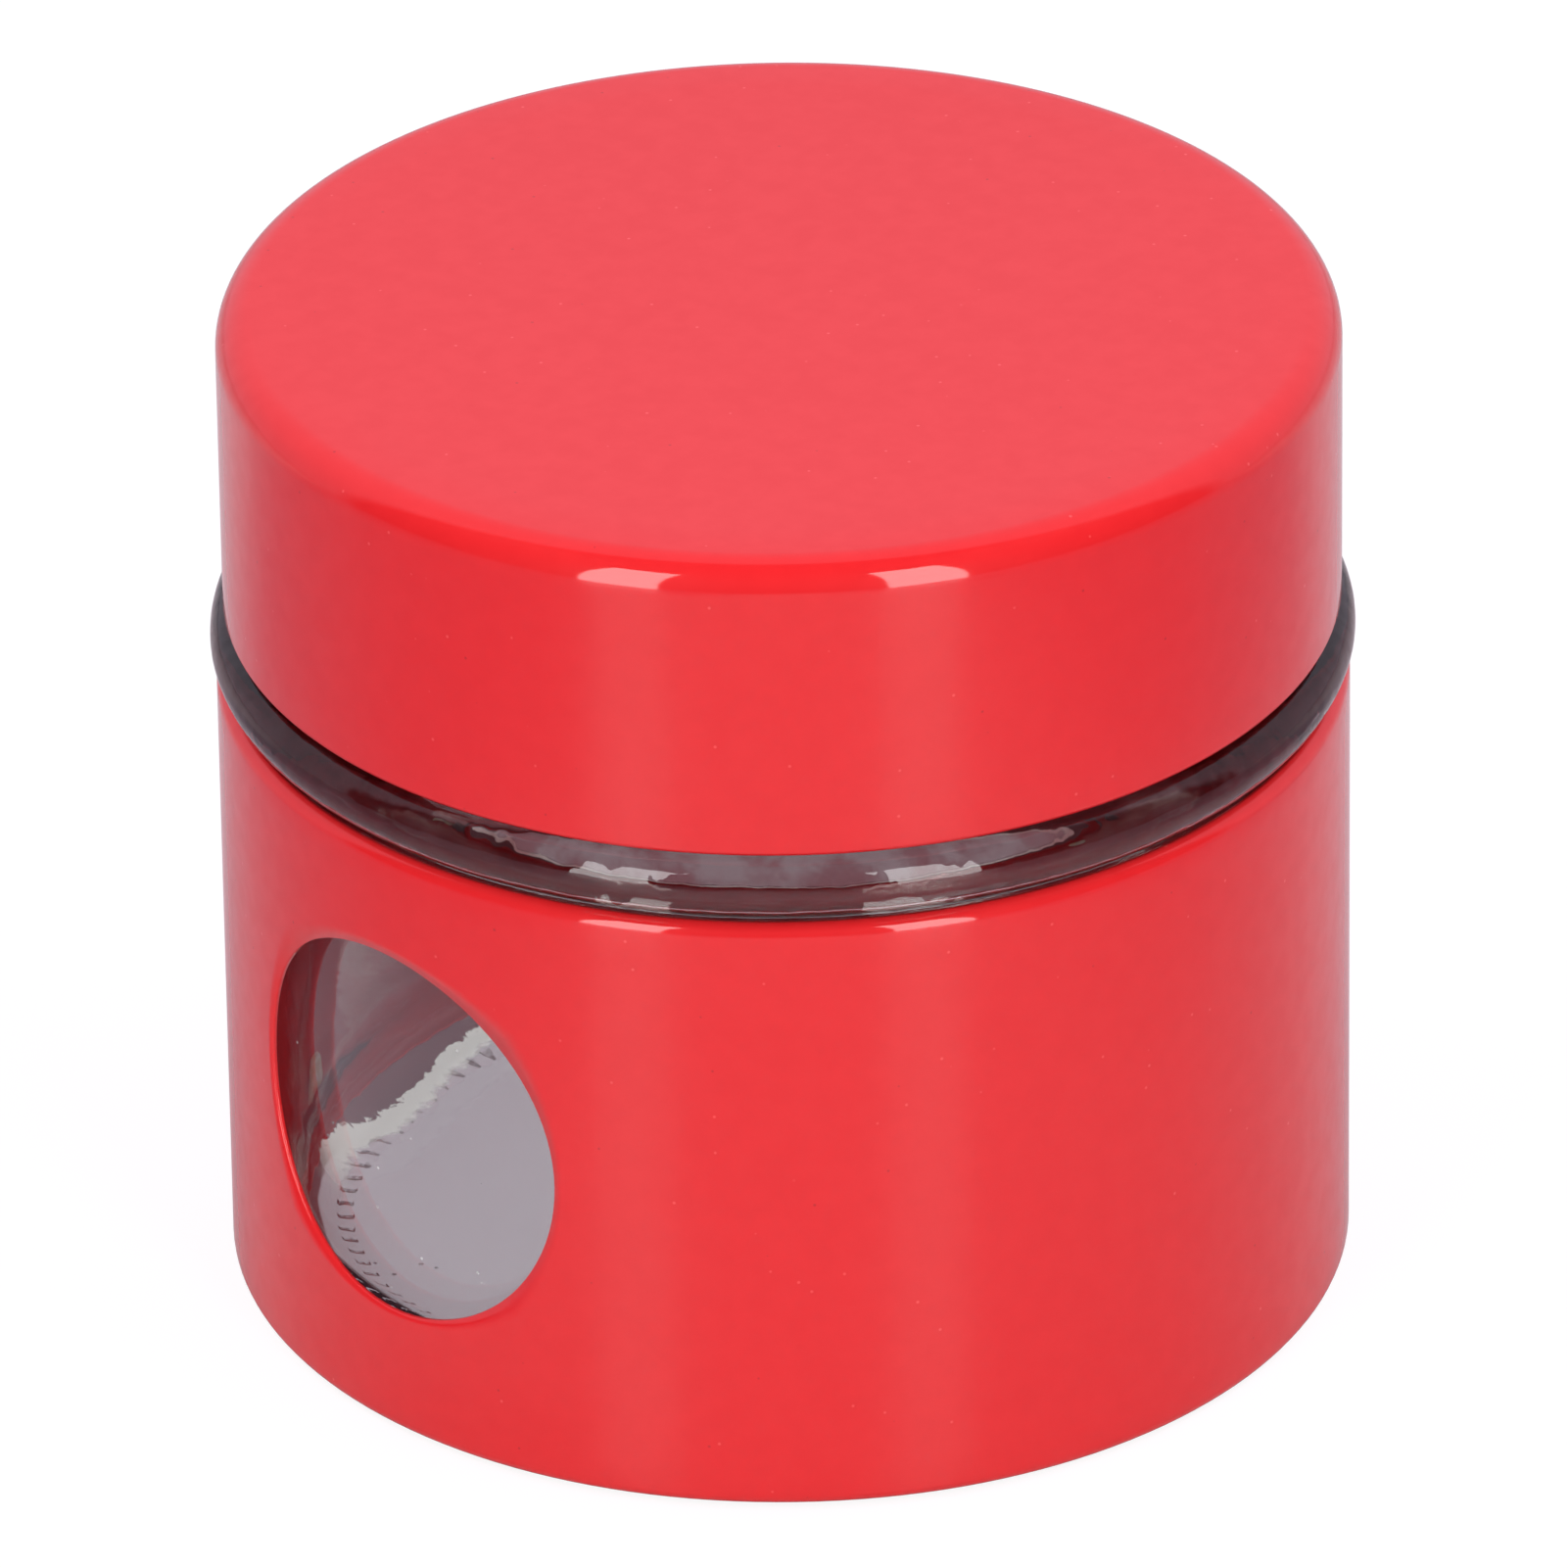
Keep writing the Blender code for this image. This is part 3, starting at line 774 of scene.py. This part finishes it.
def thread_ridges(root, crest, low, arc, first_at):
    """Ridges between two radii, from a height and an angle, that climb by the lead in one turn."""
    bm = bmesh.new()
    steps = int(arc / DEGREES_A_STEP)
    climb = THREAD_LEAD * MM * arc / 360 / steps
    section = (
        (root, -RIDGE_HALF_AT_ROOT),
        (crest, -RIDGE_HALF_AT_CREST),
        (crest, RIDGE_HALF_AT_CREST),
        (root, RIDGE_HALF_AT_ROOT),
    )
    for start in range(THREAD_STARTS):
        first = [bm.verts.new((reach * MM, 0, (low + up_by) * MM)) for reach, up_by in section]
        end_face = bm.faces.new(first)
        turn = Matrix.Rotation(math.radians(first_at + start * 360 / THREAD_STARTS), 4, "Z")
        bmesh.ops.transform(bm, matrix=turn, verts=first)
        made = bmesh.ops.spin(
            bm,
            geom=[end_face],
            cent=(0, 0, 0),
            axis=(0, 0, 1),
            dvec=(0, 0, climb),
            angle=math.radians(arc),
            steps=steps,
            use_merge=False,
            use_duplicate=False,
        )
        last = [item for item in made["geom_last"] if isinstance(item, bmesh.types.BMVert)]
        for vert in first + last:
            reach = math.hypot(vert.co.x, vert.co.y) / MM
            if abs(reach - crest) < AT_CREST_WITHIN:
                sunk = root + (crest - root) * RIDGE_LEFT_AT_ENDS
                vert.co.x *= sunk / reach
                vert.co.y *= sunk / reach
    bmesh.ops.recalc_face_normals(bm, faces=bm.faces[:])
    round_the_crests(bm, crest)
    return add_piece("thread_ridges", bm)


def round_the_crests(bm, crest):
    """Bevel the sharp edges that run along the crests."""
    crest_edges = []
    for edge in bm.edges:
        if len(edge.link_faces) == 2 and edge.calc_face_angle(0) > 0.5:
            reaches = [math.hypot(vert.co.x, vert.co.y) / MM for vert in edge.verts]
            touches_crest = min(abs(reach - crest) for reach in reaches) < AT_CREST_WITHIN
            if touches_crest and abs(reaches[0] - reaches[1]) < 0.6:
                crest_edges.append(edge)
    bmesh.ops.bevel(
        bm,
        geom=crest_edges,
        offset=RIDGE_BEVEL * MM,
        segments=2,
        profile=0.5,
        affect="EDGES",
        material=-1,
        clamp_overlap=True,
    )


neck_thread = thread_ridges(root=42.85, crest=44.75, low=76.94, arc=70.0, first_at=0.0)
neck_thread.data.materials.append(glass_finish)
melt_in(jar_glass, neck_thread, JAR_SHARP_OVER)
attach(jar_glass, "jar")
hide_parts("glass_jar")
print("jar with its thread,", len(jar_glass.data.polygons), "faces,", round(volume_of(jar_glass), 1), "ml")

# %% [markdown]
# ## The steel sleeve
#
# The sleeve is cut flat, with its round window, and then rolled into a tube. The model is made the
# same way: a flat grid, a square of it taken out, a circle put in and bridged to the square, and then
# the edges turned in by spins. Only when the flat sheet is right is it rolled up and joined at the
# back. A Solidify modifier gives it the thickness of the steel. A tube with a hole cut by a Boolean
# would leave slim, uneven faces round the window, and they would show in the gloss.
#
# The circle is put in above the sheet and lowered after it is bridged, because a bridge between two
# loops in one plane came out wrong.

# %% Cut the flat sheet
SLEEVE_RADIUS = 48.0
FOOT_BEND = 1.0
RIM_BEND = 1.2
SHEET_LOW = 0.3 + FOOT_BEND
SHEET_HIGH = 55.9 - RIM_BEND
WINDOW_RADIUS = 17.25
WINDOW_HEIGHT = 29.1
COLUMNS = 168
ROWS = 30
WINDOW_CELLS = 24
LIFTED = 10.0

sheet = bmesh.new()
bmesh.ops.create_grid(sheet, x_segments=COLUMNS, y_segments=ROWS, size=0.5)
sheet_long = math.tau * SLEEVE_RADIUS * MM
sheet_tall = (SHEET_HIGH - SHEET_LOW) * MM
bmesh.ops.scale(sheet, verts=sheet.verts[:], vec=(sheet_long, sheet_tall, 1))
bmesh.ops.translate(sheet, verts=sheet.verts[:], vec=(0, (SHEET_HIGH + SHEET_LOW) / 2 * MM, 0))

cell_wide = sheet_long / COLUMNS
cell_tall = sheet_tall / ROWS
first_row = round((WINDOW_HEIGHT * MM - SHEET_LOW * MM) / cell_tall - WINDOW_CELLS / 2)
square_low = SHEET_LOW * MM + first_row * cell_tall
square_high = square_low + WINDOW_CELLS * cell_tall
square_side = WINDOW_CELLS / 2 * cell_wide


def in_square(point, grow=0.0):
    return abs(point.x) < square_side + grow and square_low - grow < point.y < square_high + grow


gone = [face for face in sheet.faces if in_square(face.calc_center_median())]
bmesh.ops.delete(sheet, geom=gone, context="FACES")
print("flat sheet", round(sheet_long / MM, 1), "mm long,", len(gone), "cells taken out")

# %% Put in the round window
square_edges = [
    edge
    for edge in sheet.edges
    if edge.is_boundary and all(in_square(vert.co, 0.01 * MM) for vert in edge.verts)
]
ring = bmesh.ops.create_circle(
    sheet,
    cap_ends=False,
    segments=WINDOW_CELLS * 4,
    radius=WINDOW_RADIUS * MM,
    matrix=Matrix.Translation((0, WINDOW_HEIGHT * MM, LIFTED * MM)),
)
circle_verts = ring["verts"]
circle_edges = list({edge for vert in circle_verts for edge in vert.link_edges})
bmesh.ops.bridge_loops(sheet, edges=square_edges + circle_edges)
bmesh.ops.translate(sheet, verts=circle_verts, vec=(0, 0, -LIFTED * MM))
circle_set = set(circle_verts)
spokes = [edge for edge in sheet.edges if len(circle_set.intersection(edge.verts)) == 1]
bmesh.ops.subdivide_edges(sheet, edges=spokes, cuts=5, use_grid_fill=True)
bmesh.ops.recalc_face_normals(sheet, faces=sheet.faces[:])
if sum(face.normal.z for face in sheet.faces) < 0:
    bmesh.ops.reverse_faces(sheet, faces=sheet.faces[:])
print("window bridged with", len(spokes), "spokes,", len(sheet.faces), "faces")

# %% [markdown]
# The top edge is turned in over a small bend, the bottom edge too, and the foot then runs a little way
# in under the jar. The window has a lip that is turned in towards the glass, with a rounded edge that
# shows in the photograph as a thin double highlight.

# %% Turn in the edges
FLANGE_RUN = 2.0
LIP_DEEP = 1.2
LIP_BEVEL = 0.25


def edges_at(height):
    """The edges of the flat sheet that lie at a height, in millimetres, and on its surface."""
    return [
        edge
        for edge in sheet.edges
        if all(abs(v.co.y - height * MM) < 1e-6 and abs(v.co.z) < 1e-6 for v in edge.verts)
    ]


def turn_in(edges, centre_height, bend, upward):
    verts = list({vert for edge in edges for vert in edge.verts})
    return bmesh.ops.spin(
        sheet,
        geom=verts + edges,
        cent=(0, centre_height * MM, -bend * MM),
        axis=(-1 if upward else 1, 0, 0),
        dvec=(0, 0, 0),
        angle=math.pi / 2,
        steps=6,
        use_merge=False,
        use_duplicate=False,
    )["geom_last"]


def push_in(edges, depth):
    """Extrude edges and push what is new in towards the glass."""
    grown = bmesh.ops.extrude_edge_only(sheet, edges=edges)
    verts = [item for item in grown["geom"] if isinstance(item, bmesh.types.BMVert)]
    bmesh.ops.translate(sheet, verts=verts, vec=(0, 0, -depth * MM))


turn_in(edges_at(SHEET_HIGH), SHEET_HIGH, RIM_BEND, upward=True)
foot_end = turn_in(edges_at(SHEET_LOW), SHEET_LOW, FOOT_BEND, upward=False)
push_in([item for item in foot_end if isinstance(item, bmesh.types.BMEdge)], FLANGE_RUN)

window_edges = [edge for edge in sheet.edges if edge.is_boundary and circle_set.issuperset(edge.verts)]
push_in(window_edges, LIP_DEEP)
bmesh.ops.bevel(
    sheet, geom=window_edges, offset=LIP_BEVEL * MM, segments=4, profile=0.5, affect="EDGES", material=-1
)
bmesh.ops.recalc_face_normals(sheet, faces=sheet.faces[:])
flat_faces = [
    face for face in sheet.faces if abs(face.normal.z) > 0.99 and face.calc_center_median().z > -1e-6
]
if sum(face.normal.z for face in flat_faces) < 0:
    bmesh.ops.reverse_faces(sheet, faces=sheet.faces[:])
print("edges turned in,", len(sheet.faces), "faces")

# %% Roll the sheet
STEEL = 0.45
SEAM_WITHIN = 0.002


def paint_and_thicken(piece):
    """Give a bare sheet its two paints and, on its inner side, the thickness of the steel."""
    piece.data.materials.append(outside_paint)
    piece.data.materials.append(inside_paint_shaded)
    thickness = piece.modifiers.new("steel_thickness", "SOLIDIFY")
    thickness.thickness = STEEL * MM
    thickness.offset = -1.0
    thickness.use_even_offset = True
    thickness.material_offset = 1
    thickness.material_offset_rim = 0


for vert in sheet.verts:
    along, tall, deep = vert.co
    turn = along / (SLEEVE_RADIUS * MM)
    reach = SLEEVE_RADIUS * MM + deep
    vert.co = (reach * math.sin(turn), -reach * math.cos(turn), tall)
before = len(sheet.verts)
bmesh.ops.remove_doubles(sheet, verts=sheet.verts[:], dist=SEAM_WITHIN * MM)
print("rolled sleeve:", before - len(sheet.verts), "points joined at the back")

steel_sleeve = add_piece("steel_sleeve", sheet, 50.0)
paint_and_thicken(steel_sleeve)
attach(steel_sleeve, "jar")
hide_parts("sleeve")

# %% [markdown]
# ## The steel cap
#
# The cap is drawn from one disc of the same steel: a flat top, a corner of about 3 mm, a straight side
# and a lower edge that is curled in, so that no raw metal shows. The corner matters most, because all
# the long highlights of the photograph run round it. A bevelled cylinder would do for the corner, but
# an outline gives the corner and the curl their own radii.

# %% Turn the cap
LATHE_STEPS = 192
CAP_TOP = 89.1
CAP_OUTLINE = (
    (0.0, CAP_TOP, 0),
    (47.3, CAP_TOP, 2.95),
    (47.3, 62.1, 0.6),
    (46.0, 62.1, 0),
)
cap_shape = outline(CAP_OUTLINE, segments=14)
cut_long_lines(cap_shape, 4.0)
lathe(cap_shape, LATHE_STEPS)
top_faces = [face for face in cap_shape.faces if face.calc_center_median().z > (CAP_TOP - 0.1) * MM]
if sum(face.normal.z for face in top_faces) < 0:
    bmesh.ops.reverse_faces(cap_shape, faces=cap_shape.faces[:])
lid_cap = add_piece("lid_cap", cap_shape, 50.0)
paint_and_thicken(lid_cap)
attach(lid_cap, "lid")
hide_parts("lid_shell")
print("cap turned,", len(lid_cap.data.polygons), "faces")

# %% [markdown]
# ## Liner and seal
#
# Inside the cap sits a moulded plastic liner with the thread, and under its ceiling a flat ring of
# white silicone that seals on the rim of the glass. They show when the cap is off. Moulded plastic is
# satin, with a very fine grain, and has a small stub in the middle where it was cut from its runner.
# Silicone is duller and softer, and picks up dust. Both are turned from an outline, as the jar is, so
# that the seat of the seal and the seal itself are drawn in the same numbers.

# %% Mix the plastic and the silicone
PLASTIC_GREY = (0.50, 0.49, 0.47, 1)
PLASTIC_WORN = (0.44, 0.43, 0.41, 1)
SILICONE_WHITE = (0.80, 0.80, 0.77, 1)
SILICONE_DUSTY = (0.72, 0.71, 0.67, 1)


def mix_moulded(name, colour, colour_worn, roughness, grain):
    finish, mix = new_finish(name)
    where = mix.here()
    clouds = mix.noise(where, 60.0, detail=4.0, roughness=0.6)
    fine = mix.noise(where, 1800.0, detail=2.0)
    shade = mix.mix_colours(mix.ramp(clouds, (0.35, 0.0), (0.7, 1.0)), colour, colour_worn)
    shader = mix.principled(
        {
            "Base Color": shade,
            "Roughness": clouds * 0.12 + roughness,
            "Normal": mix.bump(fine + clouds * 2.0, grain * MM),
            "IOR": 1.46,
        }
    )
    mix.surface(shader)
    return finish


liner_plastic = mix_moulded("satin_grey_plastic", PLASTIC_GREY, PLASTIC_WORN, 0.36, 0.01)
seal_silicone = mix_moulded("white_silicone", SILICONE_WHITE, SILICONE_DUSTY, 0.52, 0.02)
print("moulded finishes mixed:", liner_plastic.name, "and", seal_silicone.name)

# %% Turn the liner
LINER_SHARP_OVER = 35.0
LINER_OUTLINE = (
    (0.0, 88.35, 0),
    (46.55, 88.35, 2.2),
    (46.55, 62.85, 0.35),
    (45.15, 62.85, 0.35),
    (45.15, 86.85, 0.4),
    (39.95, 86.85, 0.25),
    (39.95, 85.25, 0.3),
    (38.75, 85.25, 0.3),
    (38.75, 86.85, 0.35),
    (1.9, 86.85, 0.3),
    (1.5, 86.35, 0.2),
    (0.0, 86.35, 0),
)
liner_shape = outline(LINER_OUTLINE, segments=8)
cut_long_lines(liner_shape, 4.0)
lathe(liner_shape, LATHE_STEPS)
lid_liner = add_piece("lid_liner", liner_shape, LINER_SHARP_OVER)
liner_thread = thread_ridges(root=45.75, crest=43.85, low=75.384, arc=50.0, first_at=10.0)
melt_in(lid_liner, liner_thread, LINER_SHARP_OVER)
lid_liner.data.materials.clear()
lid_liner.data.materials.append(liner_plastic)
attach(lid_liner, "lid")
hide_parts("lid_insert")
print("liner", round(volume_of(lid_liner), 1), "ml of plastic")

# %% Turn the seal
SEAL_OUTLINE = ((40.25, 84.75, 0.4), (44.85, 84.75, 0.4), (44.85, 86.55, 0.3), (40.25, 86.55, 0.3))
seal_shape = outline(SEAL_OUTLINE, closed=True)
lathe(seal_shape, LATHE_STEPS)
seal_ring = add_piece("seal_ring", seal_shape, 50.0)
seal_ring.data.materials.append(seal_silicone)
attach(seal_ring, "seal")
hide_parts("lid_gasket")
print("seal", round(volume_of(seal_ring), 2), "ml of silicone")

# %% [markdown]
# ## The dabs of adhesive
#
# Three dabs of clear, slightly yellow adhesive hold the sleeve to the glass, low down where the foot
# hides them. Each is a small disc squeezed between two curved walls, so its rim bulges and is not
# quite round. A flattened ball would be too thin at the rim. So a flat disc is made, and then each of
# its points is given a place round the jar.

# %% Mix the adhesive
ADHESIVE_DEEP = (0.74, 0.68, 0.52, 1)
ADHESIVE_PALE = (0.86, 0.82, 0.70, 1)
BUBBLE_DEEP = 0.03

adhesive_finish, mix = new_finish("clear_adhesive")
bubbles = mix.ramp(mix.noise(mix.here(), 900.0, detail=3.0), (0.45, 0.0), (0.6, 1.0))
adhesive_shader = mix.principled(
    {
        "Base Color": mix.mix_colours(bubbles, ADHESIVE_DEEP, ADHESIVE_PALE),
        "Roughness": bubbles * 0.15 + 0.22,
        "Normal": mix.bump(bubbles, BUBBLE_DEEP * MM),
        "IOR": 1.43,
        "Subsurface Weight": 0.4,
        "Subsurface Scale": 0.001,
    }
)
mix.surface(adhesive_shader)
print("adhesive mixed with", len(mix.tree.nodes), "nodes")

# %% Squeeze in the dabs
DAB_RADIUS = 3.0
DAB_HEIGHT = 8.15
DAB_INNER = 46.15
DAB_OUTER = 47.25
DAB_INSET = 1.0
DAB_BEVEL = 0.45
DAB_DIRECTIONS = (90.0, 210.0, 330.0)

for number, direction_degrees in enumerate(DAB_DIRECTIONS, start=1):
    dab = bmesh.new()
    bmesh.ops.create_cone(
        dab, cap_ends=True, segments=36, radius1=DAB_RADIUS, radius2=DAB_RADIUS, depth=DAB_OUTER - DAB_INNER
    )
    two_ends = [face for face in dab.faces if len(face.verts) > 4]
    bmesh.ops.inset_region(dab, faces=two_ends, thickness=DAB_INSET)
    rims = [edge for edge in dab.edges if edge.calc_face_angle(0) > 1.0]
    bmesh.ops.bevel(dab, geom=rims, offset=DAB_BEVEL, segments=4, profile=0.5, affect="EDGES", material=-1)
    for vert in dab.verts:
        spread = math.atan2(vert.co.y, vert.co.x)
        bulge = 0.96 + 0.025 * math.sin(3 * spread + number) + 0.015 * math.sin(5 * spread + 2 * number)
        along = vert.co.x * bulge / SLEEVE_RADIUS
        turn = math.radians(direction_degrees) + along
        reach = (DAB_INNER + DAB_OUTER) / 2 + vert.co.z
        height = DAB_HEIGHT + vert.co.y * bulge
        vert.co = Vector((reach * math.cos(turn), reach * math.sin(turn), height)) * MM
    bmesh.ops.recalc_face_normals(dab, faces=dab.faces[:])
    blob = add_piece(f"adhesive_blob_{number}", dab, 60.0)
    blob.data.materials.append(adhesive_finish)
    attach(blob, "jar")
    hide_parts(f"adhesive_dab_{number}")
print("dabs in place:", len(DAB_DIRECTIONS))
